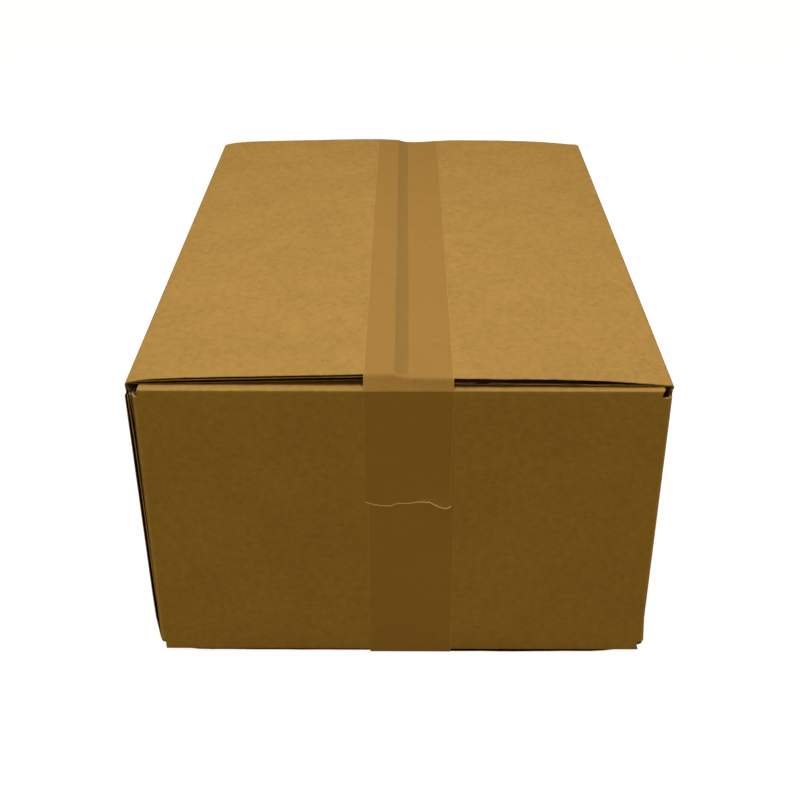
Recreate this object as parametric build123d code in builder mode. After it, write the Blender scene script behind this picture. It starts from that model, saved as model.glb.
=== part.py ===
"""Closed shipping carton: a regular slotted box of corrugated board, taped shut.

One sheet of board makes the four walls, the glued tab at the front left corner and the eight
flaps. The short flaps are folded in first. The long flaps lie over them and meet at a seam
along the middle, which a strip of tape closes at the top and another at the bottom.

Frame: the origin is under the middle of the box, on the surface that it stands on.
+X is to the right, +Y runs back along the box and +Z is up. Sizes are in millimetres.
"""

from build123d import *

import os
from math import asin, atan2, ceil, cos, degrees, hypot, sin, sqrt

# Carton, over the outer faces of its board
carton_width = 306.0
carton_length = 438.0
carton_height = 192.0

# Single-wall corrugated board
board = 4.0
liner = 0.3
medium = 0.25
flute_pitch = 7.8
flute_crest = 1.3

# Folds. Board that is scored and folded is crushed, and swells back to its full thickness.
fold_radius = 3.0
long_crush = 2.8
long_crush_run = 25.0
short_crush = 0.6
short_crush_run = 20.0

# Flaps and the slots between them
seam_gap = 7.5
ply_gap = 0.25
left_setback = 6.0
right_setback = 4.0
short_setback = 6.5
slot_overrun = 1.0

# Glued joint at the front left corner
glue = 0.2
glue_margin = 5.0
tab_width = 35.0
tab_inset = 8.0
raw_edge_setback = 1.0

# Tape
tape = 0.08
tape_width = 50.0
top_tape_offset = 5.0
bottom_tape_offset = 7.0
top_drop = 75.0
overlap_start = 25.0
jog_length = 2.0
tear_margin = 4.0

# Torn ends of tape: places across the width, as shares of it, and how far the tape stands out there
tear_places = (-0.5, -0.28, -0.04, 0.14, 0.28, 0.42, 0.5)
tear_reach = (-1.2, 1.6, -0.6, -1.9, -1.0, 2.6, 0.2)

# Levels and reaches that follow from the sizes above
base_level = tape
top_level = base_level + carton_height
middle_level = base_level + carton_height / 2
short_level = top_level - board - ply_gap
slot_level = short_level - board - slot_overrun
flap_length = (carton_width - seam_gap) / 2
left_half = carton_length / 2 - left_setback
right_half = carton_length / 2 - right_setback
short_half = carton_width / 2 - short_setback
left_inside = -carton_width / 2 + board
tab_face = left_inside + glue
front_face = -carton_length / 2
short_crease = short_level - short_crush


def flap_section(plane, level, crush, crush_run):
    """A wall's edge, its fold and its flap, cut across the fold.

    On the plane, x runs inward from the wall's outer face and y up from the slots' ends.
    """
    rise = level - slot_level
    with BuildSketch(plane) as section:
        with BuildLine():
            wall = Line((0, 0), (0, rise - crush - fold_radius))
            fold = JernArc(wall @ 1, wall % 1, fold_radius, -90)
            ramp = Spline(fold @ 1, (crush_run, rise), tangents=(fold % 1, (1, 0)))
            Polyline(
                ramp @ 1,
                (flap_length, rise),
                (flap_length, rise - board),
                (board, rise - board),
                (board, 0),
                (0, 0),
            )
        make_face()
    return section.sketch


def flute_section(plane, width):
    """The hollows on both sides of the fluted medium, over a stretch of board of this width.

    On the plane, x runs across the flutes and y from the middle of the board to its outer face.
    """
    top = board / 2 - liner
    crest = top - medium
    slope = atan2(top + crest, flute_pitch / 2 - flute_crest)
    mouth = flute_pitch / 2 - flute_crest / 2 - medium / sin(slope)
    hollow = ((-mouth, top), (mouth, top), (flute_crest / 2, -crest), (-flute_crest / 2, -crest))
    count = ceil(width / flute_pitch) + 1
    with BuildSketch(plane) as section:
        with Locations((flute_pitch / 4, 0)):
            with GridLocations(flute_pitch, 1, count, 1):
                Polygon(*hollow, align=None)
        with Locations((-flute_pitch / 4, 0)):
            with GridLocations(flute_pitch, 1, count, 1):
                Polygon(*hollow, align=None, rotation=180)
        Rectangle(width, board, mode=Mode.INTERSECT)
    return section.sketch


# One entry for each top flap: the middle of its wall's outer face, the way it folds, half its
# width, the level of its outer face, and the crush at its fold
top_flaps = (
    (Vector(-carton_width / 2, 0), Vector(1, 0), left_half, top_level, long_crush, long_crush_run),
    (Vector(carton_width / 2, 0), Vector(-1, 0), right_half, top_level, long_crush, long_crush_run),
    (Vector(0, front_face), Vector(0, 1), short_half, short_level, short_crush, short_crush_run),
    (Vector(0, -front_face), Vector(0, -1), short_half, short_level, short_crush, short_crush_run),
)

with BuildPart() as carton:
    # Walls, from the middle of the box up to the ends of the slots
    with BuildSketch(Plane.XY.offset(middle_level)) as walls:
        RectangleRounded(carton_width, carton_length, fold_radius)
        Rectangle(carton_width - 2 * board, carton_length - 2 * board, mode=Mode.SUBTRACT)
        # The left wall ends in a raw edge, beside the fold of the front wall's tab
        with Locations((-carton_width / 2, front_face)):
            Rectangle(
                board + glue, raw_edge_setback, align=(Align.MIN, Align.MIN), mode=Mode.SUBTRACT
            )
        with Locations((left_inside, front_face)):
            Rectangle(glue, board, align=(Align.MIN, Align.MIN), mode=Mode.SUBTRACT)
        fillet(walls.vertices().sort_by_distance((tab_face, front_face))[0], fold_radius)
    extrude(amount=slot_level - middle_level)
    # The tab, glued to the inside of the left wall
    with BuildSketch(Plane.XY.offset(middle_level)):
        with Locations((tab_face, front_face + fold_radius)):
            Rectangle(board, tab_width - fold_radius, align=(Align.MIN, Align.MIN))
    extrude(amount=slot_level - middle_level - tab_inset)
    # Flutes along the raw edge of the left wall
    raw_edge = Vector(left_inside - board / 2, front_face + raw_edge_setback + flute_pitch / 2)
    edge_plane = Plane(origin=raw_edge + Vector(0, 0, middle_level), x_dir=(0, 1, 0))
    extrude(
        flute_section(edge_plane, flute_pitch),
        amount=slot_level - middle_level,
        mode=Mode.SUBTRACT,
    )
    for wall, inward, half, level, crush, crush_run in top_flaps:
        across = inward.cross(Vector(0, 0, 1))
        fold_plane = Plane(origin=wall + Vector(0, 0, slot_level), x_dir=inward, z_dir=across)
        extrude(flap_section(fold_plane, level, crush, crush_run), amount=half, both=True)
        # Flutes, open at the flap's free edge and along its cut sides
        edge = wall + inward * flap_length + Vector(0, 0, level - board / 2)
        flute_plane = Plane(origin=edge, x_dir=across, z_dir=-inward)
        extrude(
            flute_section(flute_plane, 2 * half),
            amount=flap_length - crush_run,
            mode=Mode.SUBTRACT,
        )
    # The bottom is folded as the top is
    mirror(about=Plane.XY.offset(middle_level))

with BuildPart() as joint_glue:
    with BuildSketch(Plane.YZ.offset(left_inside)):
        with Locations((front_face + (tab_width + board) / 2, middle_level)):
            Rectangle(
                tab_width - board - 2 * glue_margin,
                2 * (slot_level - middle_level - tab_inset - glue_margin),
            )
    extrude(amount=glue)


def tape_section(tape_offset, end_level, jog_level):
    """The front half of a strip of tape, cut along its length, as it lies over the box's top.

    It leaves the flaps at their cut edge, runs straight to the short flap's fold, round it and
    down the front wall. From the jog on it stands off the wall by a tape's thickness.
    """
    flap_edge = front_face + min(left_setback, right_setback)
    fall = short_crease - fold_radius - top_level
    back = front_face + fold_radius - flap_edge
    tangent = sqrt(fall**2 + back**2 - fold_radius**2)
    angle = atan2(fall, back) - asin(fold_radius / hypot(fall, back))
    with BuildSketch(Plane.YZ.offset(tape_offset)) as section:
        with BuildLine():
            flat = Line((0, top_level), (flap_edge, top_level))
            bridge = Line(flat @ 1, flat @ 1 + Vector(cos(angle), sin(angle)) * tangent)
            wrap = JernArc(bridge @ 1, bridge % 1, fold_radius, -90 - degrees(angle))
            if jog_level:
                Polyline(
                    wrap @ 1,
                    (front_face, jog_level),
                    (front_face - tape, jog_level - jog_length),
                    (front_face - tape, end_level - tear_margin),
                )
            else:
                Line(wrap @ 1, (front_face, end_level - tear_margin))
            offset(amount=tape, kind=Kind.INTERSECTION, side=Side.RIGHT)
        make_face()
    return section.sketch


def torn_away(tape_offset, end_level):
    """What lies past a tape's torn end, on the front wall: a smooth, uneven line and all below it."""
    points = [
        (tape_offset + place * tape_width, end_level - reach)
        for place, reach in zip(tear_places, tear_reach)
    ]
    floor = end_level - 2 * tear_margin
    with BuildSketch(Plane.XZ.offset(-front_face + 2 * tear_margin)) as section:
        with BuildLine():
            line = Spline(*points)
            Polyline(line @ 1, (points[-1][0], floor), (points[0][0], floor), line @ 0)
        make_face()
    return section.sketch


top_end = short_crease - top_drop
bottom_end = short_crease - overlap_start

with BuildPart() as top_tape:
    extrude(
        tape_section(top_tape_offset, top_end, bottom_end + tear_margin + jog_length),
        amount=tape_width / 2,
        both=True,
    )
    extrude(torn_away(top_tape_offset, top_end), amount=-3 * tear_margin, mode=Mode.SUBTRACT)
    mirror(about=Plane.XZ)

with BuildPart() as bottom_tape:
    # Laid out over the top of the box, then turned down to the bottom
    turned_end = 2 * middle_level - bottom_end
    extrude(tape_section(bottom_tape_offset, turned_end, None), amount=tape_width / 2, both=True)
    extrude(torn_away(bottom_tape_offset, turned_end), amount=-3 * tear_margin, mode=Mode.SUBTRACT)
    mirror(about=Plane.XZ)
    mirror(about=Plane.XY.offset(middle_level), mode=Mode.REPLACE)

os.makedirs("parts", exist_ok=True)
for name, piece in (
    ("carton", carton),
    ("joint_glue", joint_glue),
    ("top_tape", top_tape),
    ("bottom_tape", bottom_tape),
):
    piece.part.label = name
    export_step(piece.part, f"parts/{name}.step")
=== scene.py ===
# %% [markdown]
# # A taped shipping carton
#
# A shipping carton is one sheet of corrugated board: two flat papers, called liners, with a wavy
# paper, the medium, glued between them. The sheet is cut, scored, folded round into four walls and
# closed with flaps at the top and the bottom, and a strip of tape holds the flaps down. The packed
# model gives the real sizes. This script rebuilds the board as its three papers, so that every cut
# edge shows what a real one shows, and then the tape, the finishes, the light and the camera.

from collections import namedtuple
from math import cos, pi, radians, sin

import bpy
import numpy as np
from mathutils import Matrix, Vector


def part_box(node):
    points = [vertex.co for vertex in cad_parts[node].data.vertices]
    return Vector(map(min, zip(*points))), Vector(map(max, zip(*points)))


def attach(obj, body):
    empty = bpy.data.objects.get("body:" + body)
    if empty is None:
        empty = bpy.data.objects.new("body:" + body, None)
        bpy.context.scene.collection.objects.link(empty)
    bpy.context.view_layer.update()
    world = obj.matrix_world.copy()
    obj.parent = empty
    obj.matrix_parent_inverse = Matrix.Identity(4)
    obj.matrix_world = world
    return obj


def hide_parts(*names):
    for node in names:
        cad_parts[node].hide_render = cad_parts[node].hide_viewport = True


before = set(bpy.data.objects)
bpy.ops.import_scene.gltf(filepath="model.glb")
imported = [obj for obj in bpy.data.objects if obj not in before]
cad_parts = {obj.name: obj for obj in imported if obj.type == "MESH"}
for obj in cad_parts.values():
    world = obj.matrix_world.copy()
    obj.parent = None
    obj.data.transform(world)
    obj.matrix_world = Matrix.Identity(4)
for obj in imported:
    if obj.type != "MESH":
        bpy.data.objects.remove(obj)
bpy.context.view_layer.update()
print("nodes in the frame:", sorted(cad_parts))

# %% Sizes that the frame gives
mm = 0.001
low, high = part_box("carton")
half_width = high.x
half_length = high.y
height = high.z + low.z
tape_low, tape_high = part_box("top_tape")
lower_tape_low, lower_tape_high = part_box("bottom_tape")
print("carton", [round(1000 * 2 * v) for v in (half_width, half_length)], "mm, height", round(height / mm, 2))

# %% Sizes of the board
board = 4.0 * mm
liner = 0.35 * mm
medium = 0.24 * mm
flute_pitch = 7.8 * mm
crushed = 1.25 * mm
upright_radius = 3.0 * mm
raw_edge = -half_length + 2.1 * mm
tab_face = -half_width + 5.6 * mm
tab_end = -half_length + 35 * mm
seam_middle = 1.2 * mm
seam_gap = 7.4 * mm


# %% [markdown]
# ## How the board folds
#
# Where board is scored it is crushed to about a third of its thickness, and beside the fold it
# swells back. A flap that was folded down never lies quite flat: it springs up a little towards its
# free edge. One law covers both. The height above the crease grows with the distance from the fold
# as one minus an exponential, and a small straight slope is added to it.

# %% Laws of the folds
Fold = namedtuple("Fold", "radius crease rise run power lift reach")

left_reach = half_width + seam_middle - seam_gap / 2
right_reach = half_width - seam_middle - seam_gap / 2
short_reach = half_width - seam_gap / 2
top_folds = (
    Fold(3.0 * mm, height - 2.9 * mm, 2.3 * mm, 9 * mm, 1.0, 3.4 * mm, left_reach),
    Fold(0.8 * mm, height - 4.8 * mm, 0.1 * mm, 5 * mm, 1.0, 0.0, short_reach),
    Fold(3.0 * mm, height - 3.1 * mm, 3.0 * mm, 30 * mm, 1.6, 1.2 * mm, right_reach),
    Fold(0.8 * mm, height - 4.8 * mm, 0.1 * mm, 5 * mm, 1.0, 0.0, short_reach),
)
bottom_folds = (
    Fold(3.0 * mm, 2.9 * mm, -2.8 * mm, 9 * mm, 1.0, 0.0, left_reach),
    Fold(1.8 * mm, 2.0 * mm, 2.5 * mm, 6 * mm, 1.0, 0.0, short_reach),
    Fold(3.0 * mm, 2.9 * mm, -2.8 * mm, 20 * mm, 1.3, 0.0, right_reach),
    Fold(1.8 * mm, 2.0 * mm, 2.5 * mm, 6 * mm, 1.0, 0.0, short_reach),
)


def swell(fold, distance):
    """How far the board has recovered at a distance from the wall's face: 0 at the fold, 1 far away.

    One minus exp(-(distance / run) ** power), rescaled so that it starts from 0 at the fold.
    """
    start = np.exp(-((fold.radius / fold.run) ** fold.power))
    return 1 - np.exp(-((np.maximum(distance, fold.radius) / fold.run) ** fold.power)) / start


def flap_height(fold, distance):
    """Height of a flap's outer face: the crease, plus the swell, plus a straight lift."""
    slope = (distance - fold.radius) / fold.reach
    return fold.crease + fold.rise * swell(fold, distance) + fold.lift * slope


def smooth(value, start, end):
    """0 below start, 1 above end, and 3t^2 - 2t^3 between them."""
    t = np.clip((value - start) / (end - start), 0, 1)
    return t * t * (3 - 2 * t)


def sag(x, y):
    """How far the tape pulls the long flaps down beside the seam, towards the back of the box."""
    dip = 2.3 * mm * np.exp(-(((x - 10 * mm) / (22 * mm)) ** 2))
    return dip * smooth(y, 0.5 * half_length, half_length)


# %% [markdown]
# ## The blank as a grid
#
# The whole blank is one grid. Its columns run round the walls, from the raw edge at the front left
# corner to the end of the glued tab. Its rows run from the free edge of the bottom flaps, over the
# bottom fold, up the wall, over the top fold and out to the free edge of the top flaps. Cells that
# fall in the slots between the flaps are left out, which cuts the slots.

# %% Columns round the walls
LEFT, BACK, RIGHT, FRONT, TAB, CORNER = range(6)
side_start, side_end = half_length - upright_radius, half_width - upright_radius
slots = {
    "top": {LEFT: (-half_length + 6 * mm, half_length - 6 * mm), BACK: (-half_width + 6.8 * mm, half_width - 6.2 * mm),
            RIGHT: (-half_length + 4 * mm, half_length - 4.5 * mm), FRONT: (-half_width + 6.8 * mm, half_width - 6.2 * mm)},
    "bottom": {LEFT: (-half_length + 6 * mm, half_length - 6 * mm), BACK: (-half_width + 7.5 * mm, half_width - 4 * mm),
               RIGHT: (-half_length + 5 * mm, half_length - 5 * mm), FRONT: (-half_width + 7.5 * mm, half_width - 4 * mm)},
}


def stops(start, end, spacing, marks=()):
    """Evenly spaced values from start to end, with every mark that lies between them among them."""
    sign = 1 if end > start else -1
    inside = [m for m in marks if sign * start < sign * m < sign * end]
    knots = sorted({start, end, *inside}, key=lambda m: sign * m)
    spans = [np.linspace(a, b, int(np.ceil(abs(b - a) / spacing)) + 1)[:-1] for a, b in zip(knots, knots[1:])]
    return np.concatenate(spans + [np.array([end])])


def edge_marks(wall, margin):
    """Where a wall's flaps end, and a place a margin inside each end."""
    ends = [slots[side][wall] for side in ("top", "bottom")]
    return [m for a, b in ends for m in (a, a + margin, b - margin, b)]


def perimeter(spacing, corner_steps, margin=2 * mm):
    """The outer line of the walls, clockwise from above, as columns x, y, tangent x, tangent y, wall.

    Straight runs join quarter circles about each upright fold.
    """
    rows = []

    def run(wall, line, tangent):
        x, y = line
        count = max(np.size(x), np.size(y))
        rows.append([np.full(count, v) if np.size(v) == 1 else v for v in (x, y, *tangent, wall)])

    def corner(x, y, radius, start):
        turn = radians(start) - np.linspace(0, pi / 2, corner_steps + 1)[1:-1]
        rows.append([x + radius * np.cos(turn), y + radius * np.sin(turn), np.sin(turn), -np.cos(turn), np.full(turn.size, CORNER)])

    r = upright_radius
    run(LEFT, (-half_width, stops(raw_edge, side_start, spacing, edge_marks(LEFT, margin))), (0, 1))
    corner(-side_end, side_start, r, 180)
    run(BACK, (stops(-side_end, side_end, spacing, edge_marks(BACK, margin)), half_length), (1, 0))
    corner(side_end, side_start, r, 90)
    run(RIGHT, (half_width, stops(side_start, -side_start, spacing, edge_marks(RIGHT, margin))), (0, -1))
    corner(side_end, -side_start, r, 0)
    run(FRONT, (stops(side_end, tab_face + r, spacing, edge_marks(FRONT, margin)), -half_length), (-1, 0))
    corner(tab_face + r, -side_start, r, -90)
    run(TAB, (tab_face, stops(-side_start, tab_end, spacing)), (0, 1))
    return np.array([np.concatenate(group) for group in zip(*rows)], float)


# %% Rows from flap to flap
slot_top = height - 9.2 * mm
slot_bottom = 9.2 * mm


def row_values(fold_steps, wall_rows, top_rows, bottom_rows):
    """Rows as pairs (section, place in it from 0 to 1).

    The sections are 0 the bottom flap, 1 the bottom fold, 2 the wall under the slots' ends,
    3 the wall between them, 4 the wall above them, 5 the top fold and 6 the top flap.
    """
    grade = lambda n: np.linspace(0, 1, n + 1) ** 1.35
    sections = (
        (0, 1 - grade(bottom_rows)[:0:-1]),
        (1, np.linspace(0, 1, fold_steps + 1)[:-1]),
        (2, np.linspace(0, 1, 3)[:-1]),
        (3, np.linspace(0, 1, wall_rows + 1)[:-1]),
        (4, np.linspace(0, 1, 3)[:-1]),
        (5, np.linspace(0, 1, fold_steps + 1)),
        (6, grade(top_rows)[1:]),
    )
    section = np.concatenate([np.full(v.size, s) for s, v in sections])
    return section, np.concatenate([v for s, v in sections])


# %% Shape of the outer face
def wall_pull(x, y, z, wall):
    """How far each upright stands in from its true plane, with the sign of the move in x.

    The walls bow in between their creases, which stand out a little. The left wall's raw edge is
    tucked in more and more towards the bottom, and the front right fold bulges where its slot ends.
    """
    between = smooth(z, 3 * mm, 9 * mm) * (1 - smooth(z, height - 7 * mm, height - 3.5 * mm))
    belly = 0.3 * mm + 0.5 * mm * between
    at_front = np.exp(-np.maximum(y + half_length, 0) / (70 * mm))
    down = 1 - z / height
    tucked = np.exp(-(((z - 9 * mm) / (13 * mm)) ** 2))
    left = belly + at_front * (0.3 * mm * between + 1.9 * mm * down + 1.7 * mm * tucked)
    bulge = 1.5 * mm * np.exp(-(((z - 10.5 * mm) / (2.6 * mm)) ** 2))
    right = belly + at_front * (1.1 * mm * between - bulge)
    side = np.clip(x / half_width, -1, 1)
    pull = np.where(side < 0, left, -right) * np.abs(side) ** 3
    front_fold = np.isin(wall, (FRONT, CORNER)) & (y < -0.9 * half_length) & (x < 0)
    fold_lean = (0.9 * mm * z / height - 1.1 * mm) * np.exp((-half_width - x) / (25 * mm)) ** 1.0
    tuck = np.where(wall == TAB, 2.3 * mm * smooth(y, -half_length + 2 * mm, -half_length + 10 * mm) * down - 0.6 * mm, 0)
    return np.where((wall == TAB) | front_fold, fold_lean + tuck, pull)


def outer_face(columns, rows):
    """Points of the blank's outer face and the thickness of the board there.

    In each column the face goes up the wall, round the folds on quarter circles and out along the
    flaps, which follow flap_height.
    """
    x, y, tx, ty, wall = (c[None, :] for c in columns)
    section, place = (r[:, None] for r in rows)
    shape = np.broadcast_shapes(x.shape, section.shape)
    inset, z, thick = np.zeros(shape), np.zeros(shape), np.full(shape, board)
    for side, folds in ((1, top_folds), (-1, bottom_folds)):
        for number in (LEFT, BACK, RIGHT, FRONT):
            fold = folds[number]
            own = wall == number
            if number == BACK:
                own = own | (wall >= TAB)
            flap, bend = (6, 5) if side > 0 else (0, 1)
            part = place if side > 0 else 1 - place
            least = min(crushed, fold.radius)
            distance = fold.radius + part * (fold.reach - fold.radius)
            angle = part * pi / 2
            here = own & (section == flap)
            inset = np.where(here, distance, inset)
            z = np.where(here, flap_height(fold, distance), z)
            thick = np.where(here, least + (board - least) * swell(fold, distance), thick)
            here = own & (section == bend)
            inset = np.where(here, fold.radius * (1 - np.cos(angle)), inset)
            z = np.where(here, fold.crease + side * fold.radius * (np.sin(angle) - 1), z)
            thick = np.where(here, least, thick)
            spring = fold.crease - side * fold.radius
            slot = slot_top if side > 0 else slot_bottom
            here = own & (section == (4 if side > 0 else 2))
            level = slot + (spring - slot) * (place if side > 0 else 1 - place)
            z = np.where(here, level, z)
            thick = np.where(here, board - (board - least) * np.exp(-np.abs(level - spring) / (3.5 * mm)), thick)
    here = section == 3
    z = np.where(here, slot_bottom + (slot_top - slot_bottom) * place, z)
    upright = [(-side_end, side_start), (side_end, side_start), (side_end, -side_start), (tab_face + upright_radius, -side_start)]
    nearest = np.min([np.hypot(x - cx, y - cy) for cx, cy in upright], axis=0)
    pressed = np.exp(-((np.maximum(nearest - upright_radius, 0) / (4 * mm)) ** 2))
    walls_only = (section >= 1) & (section <= 5)
    thick = np.where(walls_only, thick - np.minimum(1.3 * mm, thick - crushed) * pressed, thick)
    px, py = x + ty * inset, y - tx * inset
    on_flap = (section == 6) & ((wall == LEFT) | (wall == RIGHT))
    z = z - np.where(on_flap, sag(px, py), 0)
    corner_crush = np.exp(-np.maximum(half_length - np.abs(py), 0) / (6 * mm))
    low_flap = (section == 0) & ((wall == LEFT) | (wall == RIGHT))
    thick = np.where(low_flap, thick - np.maximum(thick - 1.7 * mm, 0) * corner_crush, thick)
    forward = 4.3 * mm * np.exp(-(py + side_start) / (25 * mm)) * smooth(inset, 3 * mm, 25 * mm)
    py = py - np.where(low_flap, forward, 0)
    px = px + wall_pull(px, py, z, np.broadcast_to(wall, shape)) * np.where(section == 6, 0.2, 1)
    return np.stack([px, py, z + 0 * px], axis=-1), thick


def outward(points, columns):
    """Unit normals of the outer face: the direction up the rows crossed with the way round the walls."""
    up = np.gradient(points, axis=0)
    round_walls = np.stack([columns[2], columns[3], 0 * columns[2]], axis=-1)[None]
    normal = np.cross(up, np.broadcast_to(round_walls, points.shape))
    return normal / np.linalg.norm(normal, axis=-1, keepdims=True)


def cells_of_board(columns, rows):
    """Which grid cells hold board: all of the walls, and the flaps between their slots."""
    section = rows[0]
    cell_section = section[:-1]
    x, y, tx, ty, wall = columns
    along = np.where(np.isin(wall, (LEFT, RIGHT)), y, x)
    keep = np.ones((section.size - 1, wall.size - 1), bool)
    for side, beyond in (("top", cell_section > 3), ("bottom", cell_section < 3)):
        held = np.zeros(wall.size - 1, bool)
        for number, (start, end) in slots[side].items():
            inside = (wall == number) & (along > start - 1e-6) & (along < end + 1e-6)
            held |= inside[:-1] & inside[1:]
        keep[beyond] &= held
    tab_cells = (wall[:-1] == TAB) | (wall[1:] == TAB)
    keep[np.ix_(cell_section != 3, tab_cells)] = False
    return keep


# %% [markdown]
# ## From a grid to a closed sheet of paper
#
# Each of the three papers is a closed solid with its own thickness: two copies of the grid, one at
# the paper's outer depth and one at its inner depth, joined by a rim wherever a cell has no
# neighbour. Writing the arrays straight into the mesh is quick, and the rim closes every slot.

# %% A closed sheet between two grids
def sheet(name, upper, lower, keep):
    """A closed mesh between two grids of points, over the kept cells. Faces point outwards.

    Its faces take three material slots: 0 on the upper side, 1 on the lower side and 2 on the rim.
    """
    rows, cols = upper.shape[:2]
    number = np.arange(rows * cols).reshape(rows, cols)
    a, b, c, d = number[:-1, :-1], number[1:, :-1], number[1:, 1:], number[:-1, 1:]
    under = rows * cols
    faces = [np.stack([a, b, c, d], -1)[keep], np.stack([a, d, c, b], -1)[keep] + under]
    padded = np.pad(keep, 1)
    rims = (
        (keep & ~padded[:-2, 1:-1], a, d),
        (keep & ~padded[2:, 1:-1], c, b),
        (keep & ~padded[1:-1, :-2], b, a),
        (keep & ~padded[1:-1, 2:], d, c),
    )
    for edge, first, second in rims:
        p, q = first[edge], second[edge]
        faces.append(np.stack([p, q, q + under, p + under], -1))
    quads = np.concatenate(faces)
    points = np.concatenate([upper.reshape(-1, 3), lower.reshape(-1, 3)])
    used, quads = np.unique(quads, return_inverse=True)
    piece = new_mesh(name, points[used], quads.reshape(-1, 4))
    side = np.repeat([0, 1, 2], [len(faces[0]), len(faces[1]), len(quads.reshape(-1, 4)) - 2 * len(faces[0])])
    piece.data.polygons.foreach_set("material_index", side.astype(np.int32))
    return piece


def new_mesh(name, points, quads):
    """A mesh object at the origin from an array of points and an array of four-sided faces."""
    mesh = bpy.data.meshes.new(name)
    mesh.vertices.add(len(points))
    mesh.vertices.foreach_set("co", np.ascontiguousarray(points, np.float32).ravel())
    mesh.loops.add(quads.size)
    mesh.loops.foreach_set("vertex_index", np.ascontiguousarray(quads, np.int32).ravel())
    mesh.polygons.add(len(quads))
    mesh.polygons.foreach_set("loop_start", np.arange(0, quads.size, 4, dtype=np.int32))
    mesh.update(calc_edges=True)
    mesh.polygons.foreach_set("use_smooth", np.ones(len(quads), bool))
    mesh.set_sharp_from_angle(angle=radians(35))
    piece = bpy.data.objects.new(name, mesh)
    bpy.context.scene.collection.objects.link(piece)
    print(name, "has", len(points), "points and", 2 * len(quads), "triangles")
    return piece


def ragged(count, seed, amount):
    """Seeded unevenness for a cut edge: the sum of a fine and a coarse run of random numbers."""
    random = np.random.default_rng(seed)
    coarse = np.interp(np.arange(count), np.linspace(0, count, count // 5 + 2), random.uniform(-1, 1, count // 5 + 2))
    return amount * (0.5 * random.uniform(-1, 1, count) + 0.5 * coarse)


def fray(points, keep, columns, seed, amount, pulled_in):
    """Moves the cut side edges of the flaps and walls along the board, so that they aren't ruled lines."""
    open_left = keep & ~np.pad(keep, 1)[1:-1, :-2]
    open_right = keep & ~np.pad(keep, 1)[1:-1, 2:]
    way = np.stack([columns[2], columns[3], 0 * columns[2]], -1)[None]
    amounts = np.zeros(points.shape[:2])
    for sign, edge, shift in ((1, open_left, 0), (-1, open_right, 1)):
        on_edge = np.zeros(points.shape[:2], bool)
        on_edge[:-1, shift : shift + edge.shape[1]] |= edge
        on_edge[1:, shift : shift + edge.shape[1]] |= edge
        rough = ragged(points.shape[0], seed + shift, amount)[:, None]
        harsher = np.where(columns[4] == RIGHT, 2.0, 1.0)[None]
        amounts += np.where(on_edge, sign * (pulled_in + rough * harsher), 0)
    return points + way * amounts[..., None]


# %% The outer liner
columns = perimeter(8 * mm, 5)
rows = row_values(5, 10, 64, 16)
face, thickness = outer_face(columns, rows)
normals = outward(face, columns)
keep = cells_of_board(columns, rows)
face = fray(face, keep, columns, 3, 0.22 * mm, 0.0)
outer_liner = sheet("outer_liner", face, face - normals * liner, keep)

# %% The inner liner
inner_face = fray(face, keep, columns, 11, 0.3 * mm, 0.35 * mm)
deep = thickness[..., None]
inner_liner = sheet("inner_liner", inner_face - normals * (deep - liner), inner_face - normals * deep, keep)

# %% [markdown]
# ## The fluted medium
#
# The medium is a sine wave across the flutes, which run up the walls and out along the flaps. Its
# height follows the thickness of the board, so that it is squashed flat where the board is scored.

# %% The medium
columns = perimeter(flute_pitch / 5, 4)
rows = row_values(4, 5, 22, 8)
face, thickness = outer_face(columns, rows)
normals = outward(face, columns)
keep = cells_of_board(columns, rows)
x, y, tx, ty, wall = columns
along = np.where(np.isin(wall, (LEFT, RIGHT, TAB)), y, x)
wave = np.sin(2 * pi * (along - slots["top"][LEFT][0]) / flute_pitch)[None]
room = np.maximum(thickness - 2 * liner - medium, 0) / 2
centre = thickness / 2 - room * wave
whole = face
face = fray(face, keep, columns, 23, 0.35 * mm, 0.6 * mm)
at_cut = np.linalg.norm(face - whole, axis=-1) > 0
half = medium / 2 + np.where(at_cut, 0.16 * mm, 0)
upper = face - normals * (centre - half)[..., None]
lower = face - normals * (centre + half)[..., None]
fluted_medium = sheet("fluted_medium", upper, lower, keep)

# %% [markdown]
# ## The tape
#
# Packing tape is a thin film. It lies on the long flaps, spans the seam with a slight sag, leaves
# the flaps at their cut edge, slants down to the fold of the short flap, goes round the fold and
# down the wall. The strip is one grid: its rows follow that line, and its columns lie side by side
# across the strip, each at its own height on the flaps.

# %% Line of the tape
film = 0.09 * mm
lie = 0.06 * mm


def lid_height(x, y):
    """Height of the closed top under the tape: the two long flaps, and a sagging span over the seam."""
    left_edge, right_edge = seam_middle - seam_gap / 2, seam_middle + seam_gap / 2
    left = flap_height(top_folds[LEFT], np.minimum(x, left_edge) + half_width) - sag(np.minimum(x, left_edge), y)
    right = flap_height(top_folds[RIGHT], half_width - np.maximum(x, right_edge)) - sag(np.maximum(x, right_edge), y)
    t = np.clip((x - left_edge) / seam_gap, 0, 1)
    return left * (1 - t) + right * t - 1.2 * mm * t * (1 - t)


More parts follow.
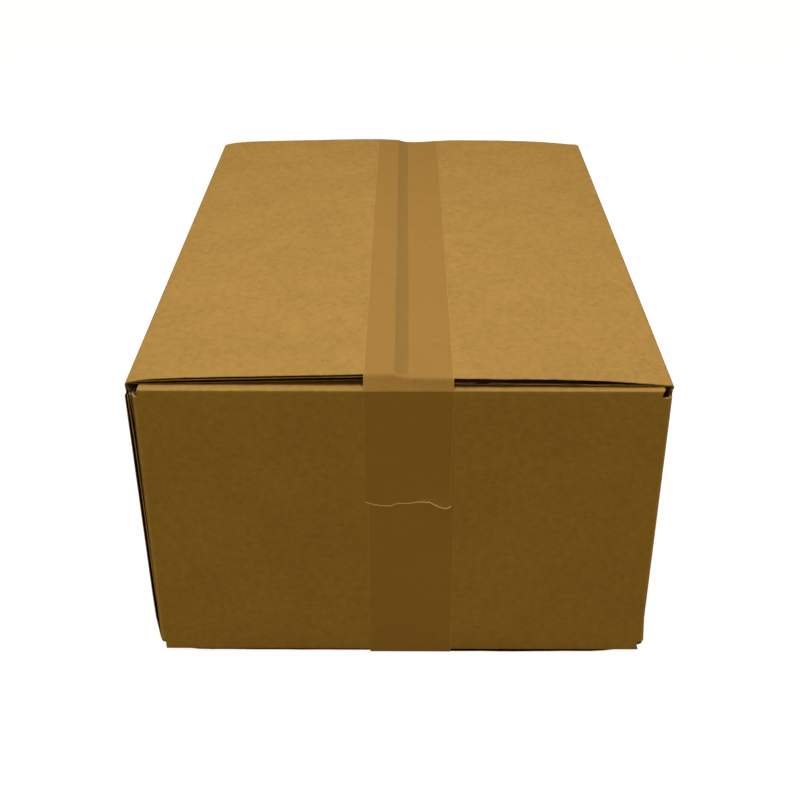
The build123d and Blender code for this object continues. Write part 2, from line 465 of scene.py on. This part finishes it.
def strip_over_top(across, end_heights, lifted, side):
    """Half of the top tape, from the middle of the box to one torn end, as a grid of points.

    side is -1 for the front and 1 for the back. Rows go from the torn end up the wall, round the
    fold, up the slant to the flaps' edge and along the top. The turn over the flaps' edge is
    softened by a running mean. lifted says how far the torn end stands off the wall.
    """
    fold = top_folds[FRONT]
    radius = fold.radius + lie
    end = 1 if side > 0 else 0
    crossing = smooth(across, seam_middle - 2 * seam_gap, seam_middle + 2 * seam_gap)
    edge = slots["top"][LEFT][end] * (1 - crossing) + slots["top"][RIGHT][end] * crossing
    spring = fold.crease - fold.radius
    part = np.concatenate([[0, 0.008, 0.016], np.linspace(0.03, 1, 38)])[:, None]
    drop_z = end_heights + (spring - end_heights) * part
    drop_y = side * (half_length + lie + lifted * np.exp(-(drop_z - end_heights) / (3 * mm)))
    top_edge = lid_height(across, edge) + lie
    rise = np.arctan2(top_edge - fold.crease, half_length - fold.radius - np.abs(edge))
    turn = (pi / 2 - rise)[None] * np.linspace(0, 1, 6)[1:, None]
    wrap_y = side * (half_length - fold.radius + radius * np.cos(turn))
    wrap_z = spring + radius * np.sin(turn)
    slant = np.linspace(0, 1, 10)[1:, None]
    slant_y = wrap_y[-1] + (edge - wrap_y[-1]) * slant
    slant_z = wrap_z[-1] + (top_edge - wrap_z[-1]) * slant
    run = np.concatenate([np.linspace(0, 10 * mm, 13)[1:-1], np.linspace(10 * mm, half_length, 50)])[:, None]
    flat_y = side * np.maximum(np.abs(edge) - run * np.abs(edge) / half_length, 0)
    flat_z = lid_height(across[None], flat_y) + lie
    points_y = np.concatenate([drop_y, wrap_y, slant_y, flat_y])
    points_z = np.concatenate([drop_z, wrap_z, slant_z, flat_z])
    past = np.where(np.abs(points_y) > np.abs(edge), 1.2 * mm, 2.0 * mm)
    points_z += 0.45 * mm * np.exp(-(((np.abs(points_y) - np.abs(edge)) / past) ** 2)) * (points_z > spring)
    first = len(drop_y) + len(wrap_y)
    span = slice(first, first + 16)
    points_z[span] = sum(points_z[first + k : first + 16 + k] for k in (-2, -1, 0, 1, 2)) / 5
    return np.stack([np.broadcast_to(across, points_y.shape), points_y, points_z], -1)


def torn_line(share, anchors):
    """Heights of a torn edge across the tape: a smooth wave through a few anchors, with fine teeth."""
    places, heights = np.array(anchors).T
    dense = np.interp(share, places, heights)
    kernel = np.hanning(7) / np.hanning(7).sum()
    wave = np.convolve(np.pad(dense, 3, mode="edge"), kernel, mode="valid")
    teeth = np.random.default_rng(5).uniform(-0.25, 0.25, share.size)
    return (wave + teeth) * mm


def film_sheet(name, points, marks):
    """A closed film from a grid of points, with its thickness on the outer side.

    marks gives each cell the slot of its finish: 0 plain film, 2 the pale torn edge, 3 film over
    the open seam, darker as painted shade of the gap under it, and 4 the film's long edges, paler
    as a painted highlight.
    """
    normal = np.cross(np.gradient(points, axis=0), np.gradient(points, axis=1))
    normal /= np.linalg.norm(normal, axis=-1, keepdims=True)
    keep = np.ones((points.shape[0] - 1, points.shape[1] - 1), bool)
    piece = sheet(name, points + normal * film, points, keep)
    slots_now = np.zeros(len(piece.data.polygons), np.int32)
    piece.data.polygons.foreach_get("material_index", slots_now)
    slots_now[: marks.size] = marks.ravel()
    slots_now[slots_now == 1] = 0
    piece.data.polygons.foreach_set("material_index", slots_now)
    return piece


# %% The top tape
share = np.sort(np.concatenate([np.linspace(0, 1, 59), [0.007, 0.993]]))
top_line = tape_low.x + share * (tape_high.x - tape_low.x) + 0.3 * mm
front_anchors = ((0, 113.4), (0.1, 111.6), (0.2, 110.6), (0.3, 110.6), (0.37, 112.4), (0.5, 112.4),
                 (0.62, 113.7), (0.75, 113.7), (0.84, 110.8), (0.93, 108.8), (1, 110.8))
back_anchors = ((0, 111.0), (0.3, 113.2), (0.6, 110.6), (0.85, 112.8), (1, 112.0))
front_lift = 0.7 * mm * smooth(share, 0.5, 0.75) + 0.1 * mm
front_half = strip_over_top(top_line, torn_line(share, front_anchors), front_lift, -1)
back_half = strip_over_top(top_line, torn_line(share, back_anchors), 0.1 * mm + 0 * share, 1)[::-1]
strip = np.concatenate([front_half, back_half[1:]])[:, ::-1]
middle = (strip[:-1, :-1] + strip[1:, 1:]) / 2
marks = np.zeros(middle.shape[:2], np.int32)
# The cells over the open seam take a darker film, as painted shade of the gap under the tape.
marks[(np.abs(middle[..., 0] - seam_middle) < seam_gap / 2) & (np.abs(middle[..., 1]) < half_length - 7 * mm)] = 3
# The film's two long edges take a paler film, as a painted highlight.
marks[:, [0, -1]] = 4
marks[[0, -1]] = 2
top_tape = film_sheet("top_tape_film", strip, marks)

# %% The bottom tape
def strip_under_bottom(across, end_heights, side):
    """Half of the bottom tape: down the wall, round to the floor in front of the flaps, and flat."""
    radius = 1.5 * mm
    part = np.linspace(0, 1, 60)[:, None]
    drop_z = end_heights + (radius + film - end_heights) * part
    drop_y = np.full_like(drop_z, side * (half_length + lie - film))
    turn = np.linspace(0, 1, 6)[1:, None] * pi / 2
    wrap_y = side * (half_length - radius + radius * np.cos(turn)) + 0 * across
    wrap_z = film + radius * (1 - np.sin(turn)) + 0 * across
    flat_y = side * np.linspace(half_length - 4 * mm, 0, 24)[:, None] + 0 * across
    flat_z = np.full_like(flat_y, film)
    points_y = np.concatenate([drop_y, wrap_y, flat_y])
    points_z = np.concatenate([drop_z, wrap_z, flat_z])
    return np.stack([np.broadcast_to(across, points_y.shape), points_y, points_z], -1)


bottom_line = lower_tape_low.x + share * (lower_tape_high.x - lower_tape_low.x)
hidden_anchors = ((0, 164.5), (0.3, 162.0), (0.7, 163.0), (1, 159.8))
front_half = strip_under_bottom(bottom_line, torn_line(share, hidden_anchors), -1)
back_half = strip_under_bottom(bottom_line, torn_line(share, hidden_anchors), 1)[::-1]
strip = np.concatenate([front_half, back_half[1:]])
marks = np.zeros((strip.shape[0] - 1, strip.shape[1] - 1), np.int32)
# The film's two long edges take a paler film, as a painted highlight.
marks[:, [0, -1]] = 4
bottom_tape = film_sheet("bottom_tape_film", strip, marks)

# %% [markdown]
# ## Finishes
#
# Unbleached kraft paper is matt and faintly cloudy, with fine fibres that lie every way. One node
# group makes that cloudiness for every paper, and each material gives it its own colours.

# %% The group for paper fibres
def make_fibre_group():
    """Puts out a paper's colour and a height for its bump, from two colours and a strength."""
    group = bpy.data.node_groups.new("paper_fibres", "ShaderNodeTree")
    face = group.interface
    face.new_socket("Colour", in_out="INPUT", socket_type="NodeSocketColor")
    face.new_socket("Fibre colour", in_out="INPUT", socket_type="NodeSocketColor")
    face.new_socket("Strength", in_out="INPUT", socket_type="NodeSocketFloat")
    face.new_socket("Colour", in_out="OUTPUT", socket_type="NodeSocketColor")
    face.new_socket("Height", in_out="OUTPUT", socket_type="NodeSocketFloat")
    nodes, links = group.nodes, group.links
    inputs, outputs = nodes.new("NodeGroupInput"), nodes.new("NodeGroupOutput")
    place = nodes.new("ShaderNodeTexCoord")

    def noise(scale, stretch, detail):
        turned = nodes.new("ShaderNodeMapping")
        turned.inputs["Scale"].default_value = stretch
        texture = nodes.new("ShaderNodeTexNoise")
        texture.inputs["Scale"].default_value = scale
        texture.inputs["Detail"].default_value = detail
        links.new(place.outputs["Object"], turned.inputs["Vector"])
        links.new(turned.outputs["Vector"], texture.inputs["Vector"])
        return texture.outputs["Fac"]

    def combine(kind, first, second):
        node = nodes.new("ShaderNodeMath")
        node.operation = kind
        for socket, value in zip(node.inputs, (first, second)):
            if isinstance(value, (int, float)):
                socket.default_value = value
            else:
                links.new(value, socket)
        return node.outputs[0]

    def centred(value, gain):
        return combine("MULTIPLY", combine("SUBTRACT", value, 0.5), gain)

    clouds = centred(noise(26, (1, 1, 1), 2), 0.20)
    mottle = centred(noise(230, (1, 0.7, 1), 3), 0.36)
    fibres = centred(noise(620, (0.5, 1.2, 1.2), 2), 0.34)
    total = combine("ADD", combine("ADD", clouds, mottle), fibres)
    level = combine("ADD", combine("MULTIPLY", total, inputs.outputs["Strength"]), 1.0)
    scaled = nodes.new("ShaderNodeVectorMath")
    scaled.operation = "SCALE"
    links.new(level, scaled.inputs["Scale"])
    specks = combine("GREATER_THAN", noise(420, (1, 1, 1), 1), 0.735)
    mixed = nodes.new("ShaderNodeMix")
    mixed.data_type = "RGBA"
    links.new(combine("MULTIPLY", specks, 0.5), mixed.inputs["Factor"])
    links.new(inputs.outputs["Colour"], mixed.inputs[6])
    links.new(inputs.outputs["Fibre colour"], mixed.inputs[7])
    links.new(mixed.outputs[2], scaled.inputs[0])
    links.new(scaled.outputs["Vector"], outputs.inputs["Colour"])
    links.new(combine("ADD", mottle, fibres), outputs.inputs["Height"])
    return group


fibre_group = make_fibre_group()


def linear(colour):
    """A colour from its ordinary 0 to 255 values, as the light-linear values that shaders take."""
    c = np.array(colour) / 255
    return (*np.where(c <= 0.04045, c / 12.92, ((c + 0.055) / 1.055) ** 2.4), 1.0)


def paper(name, colour, fibre, strength, roughness, bump=0.05, shine=0.06):
    """A material of fibrous paper: the group drives the colour and a fine bump."""
    material = bpy.data.materials.new(name)
    material.use_nodes = True
    nodes, links = material.node_tree.nodes, material.node_tree.links
    shader = nodes["Principled BSDF"]
    shader.inputs["Roughness"].default_value = roughness
    shader.inputs["Specular IOR Level"].default_value = shine
    fibres = nodes.new("ShaderNodeGroup")
    fibres.node_tree = fibre_group
    fibres.inputs["Colour"].default_value = linear(colour)
    fibres.inputs["Fibre colour"].default_value = linear(fibre)
    fibres.inputs["Strength"].default_value = strength
    links.new(fibres.outputs["Colour"], shader.inputs["Base Color"])
    relief = nodes.new("ShaderNodeBump")
    relief.inputs["Strength"].default_value = bump
    relief.inputs["Distance"].default_value = 0.0004
    links.new(fibres.outputs["Height"], relief.inputs["Height"])
    links.new(relief.outputs["Normal"], shader.inputs["Normal"])
    return material


kraft = paper("kraft_liner", (176, 136, 71), (120, 86, 40), 1.0, 0.85)
# The outer liner's cut edge is painted far paler than the paper, as a painted highlight on the rim.
liner_edge_painted_highlight = paper("liner_cut_edge_painted_highlight", (226, 190, 136), (170, 130, 80), 1.6, 0.95)
kraft_inside = paper("kraft_inside", (150, 115, 66), (110, 80, 40), 1.2, 0.9)
# The medium and the liners' faces inside the flutes are a darker paper, deepened to near black as painted shade in the
# hollows.
flute_paper_painted_shade = paper("flute_paper_with_painted_shade", (52, 34, 20), (36, 24, 14), 1.2, 0.95)
medium_edge = paper("medium_cut_edge", (180, 148, 112), (110, 84, 60), 2.2, 0.95)
inner_edge = paper("inner_cut_edge", (150, 116, 74), (100, 72, 40), 2.0, 0.95)
tan_film = paper("tan_tape_film", (168, 126, 63), (140, 104, 56), 0.35, 0.55, 0.02, 0.06)
# The tape over the open seam is painted darker than the film, as painted shade of the gap beneath.
seam_tape_painted_shade = paper("tape_over_seam_painted_shade", (154, 118, 62), (130, 100, 54), 0.35, 0.55, 0.02, 0.06)
# The tape's long edges are painted paler than the film, as a painted highlight.
tape_edge_painted_highlight = paper("tape_long_edge_painted_highlight", (186, 146, 82), (160, 120, 70), 0.8, 0.6)
torn_film = paper("torn_tape_edge", (246, 214, 156), (200, 160, 100), 0.8, 0.6)
dry_glue = paper("dry_glue", (222, 210, 180), (190, 176, 140), 0.5, 0.5)

# %% Put the finishes on, and hide the frame's parts that the pieces stand in for
for piece, finishes, slot, node in (
    (outer_liner, (kraft, flute_paper_painted_shade, liner_edge_painted_highlight), "kraft_board", "carton"),
    (inner_liner, (flute_paper_painted_shade, kraft_inside, inner_edge), "kraft_board", "carton"),
    (fluted_medium, (flute_paper_painted_shade, flute_paper_painted_shade, medium_edge), "kraft_board", "carton"),
    (top_tape, (tan_film, tan_film, torn_film, seam_tape_painted_shade, tape_edge_painted_highlight), "tan_tape", "top_tape"),
    (bottom_tape, (tan_film, tan_film, torn_film, seam_tape_painted_shade, tape_edge_painted_highlight), "tan_tape", "bottom_tape"),
):
    for finish in finishes:
        piece.data.materials.append(finish)
    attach(piece, "root")
    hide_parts(node)
glue_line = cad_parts["joint_glue"]
glue_line.data.materials.clear()
glue_line.data.materials.append(dry_glue)

# %% [markdown]
# ## Floor, light and camera
#
# The floor is plain and pale. To the camera it gives off white, so that the picture's ground is
# clean, and a share of it is still an ordinary matt surface, which keeps the box's own shadow.

# %% The floor and the surroundings
def make_floor():
    """A wide plane under the box, white to the camera and pale to every other ray."""
    reach = 8.0
    corners = np.array([(-reach, -reach, 0), (-reach, reach, 0), (reach, reach, 0), (reach, -reach, 0)])
    floor = new_mesh("studio_floor", corners, np.array([[0, 3, 2, 1]]))
    material = bpy.data.materials.new("studio_floor")
    material.use_nodes = True
    nodes, links = material.node_tree.nodes, material.node_tree.links
    nodes.clear()
    out = nodes.new("ShaderNodeOutputMaterial")
    seen, plain, both = nodes.new("ShaderNodeEmission"), nodes.new("ShaderNodeBsdfDiffuse"), nodes.new("ShaderNodeAddShader")
    seen.inputs["Strength"].default_value = 0.93
    faint = nodes.new("ShaderNodeBsdfDiffuse")
    faint.inputs["Color"].default_value = (0.25, 0.25, 0.25, 1)
    plain.inputs["Color"].default_value = (0.24, 0.21, 0.12, 1)
    links.new(seen.outputs[0], both.inputs[0])
    links.new(faint.outputs[0], both.inputs[1])
    path, first, second = nodes.new("ShaderNodeLightPath"), nodes.new("ShaderNodeMath"), nodes.new("ShaderNodeMath")
    for node in (first, second):
        node.operation = "MAXIMUM"
    links.new(path.outputs["Is Camera Ray"], first.inputs[0])
    links.new(path.outputs["Is Glossy Ray"], first.inputs[1])
    links.new(first.outputs[0], second.inputs[0])
    links.new(path.outputs["Is Transmission Ray"], second.inputs[1])
    mix = nodes.new("ShaderNodeMixShader")
    links.new(second.outputs[0], mix.inputs["Fac"])
    links.new(plain.outputs[0], mix.inputs[1])
    links.new(both.outputs[0], mix.inputs[2])
    links.new(mix.outputs[0], out.inputs["Surface"])
    floor.data.materials.append(material)


def make_surroundings():
    """A world that is white behind the box and a weak warm light everywhere else."""
    world = bpy.data.worlds.new("studio")
    bpy.context.scene.world = world
    world.use_nodes = True
    nodes, links = world.node_tree.nodes, world.node_tree.links
    weak = nodes["Background"]
    weak.inputs["Color"].default_value = (1.0, 0.90, 0.42, 1)
    weak.inputs["Strength"].default_value = 0.30
    white = nodes.new("ShaderNodeBackground")
    white.inputs["Color"].default_value = (1, 1, 1, 1)
    path, mix = nodes.new("ShaderNodeLightPath"), nodes.new("ShaderNodeMixShader")
    links.new(path.outputs["Is Camera Ray"], mix.inputs["Fac"])
    links.new(weak.outputs[0], mix.inputs[1])
    links.new(white.outputs[0], mix.inputs[2])
    links.new(mix.outputs[0], nodes["World Output"].inputs["Surface"])


make_floor()
make_surroundings()


# %% The lamps
def lamp(name, place, aim, size, power, colour=(1, 1, 1)):
    """A square area lamp at a place, turned towards a point."""
    light = bpy.data.lights.new(name, "AREA")
    light.size = size
    light.energy = power
    light.color = colour
    holder = bpy.data.objects.new(name, light)
    away = Vector(aim) - Vector(place)
    holder.matrix_world = Matrix.Translation(place) @ away.to_track_quat("-Z", "Y").to_matrix().to_4x4()
    bpy.context.scene.collection.objects.link(holder)


lamp("overhead", (0, -0.18, 1.15), (0, -0.10, 0), 0.3, 6.7, (0.85, 0.87, 1.0))
lamp("front_fill", (0.0, -2.2, 0.45), (0, 0, 0.1), 1.0, 3.5, (1.0, 0.86, 0.3))
lamp("left_side", (-1.5, 0, 0.75), (0, 0, 0.1), 0.7, 6)
lamp("right_side", (1.5, 0, 0.75), (0, 0, 0.1), 0.7, 5)

# %% The camera
lens_millimetres = 54.3
camera_place = Vector((3.3 * mm, -798.3 * mm, 509.5 * mm))
camera_pitch, camera_yaw = radians(29.52), radians(-0.27)
camera = bpy.data.cameras.new("camera")
camera.lens = lens_millimetres
camera.sensor_width = 36
camera_holder = bpy.data.objects.new("camera", camera)
heading = Vector((sin(camera_yaw) * cos(camera_pitch), cos(camera_yaw) * cos(camera_pitch), -sin(camera_pitch)))
camera_holder.matrix_world = Matrix.Translation(camera_place) @ heading.to_track_quat("-Z", "Y").to_matrix().to_4x4()
bpy.context.scene.collection.objects.link(camera_holder)
bpy.context.scene.camera = camera_holder
bpy.context.scene.view_settings.view_transform = "Standard"
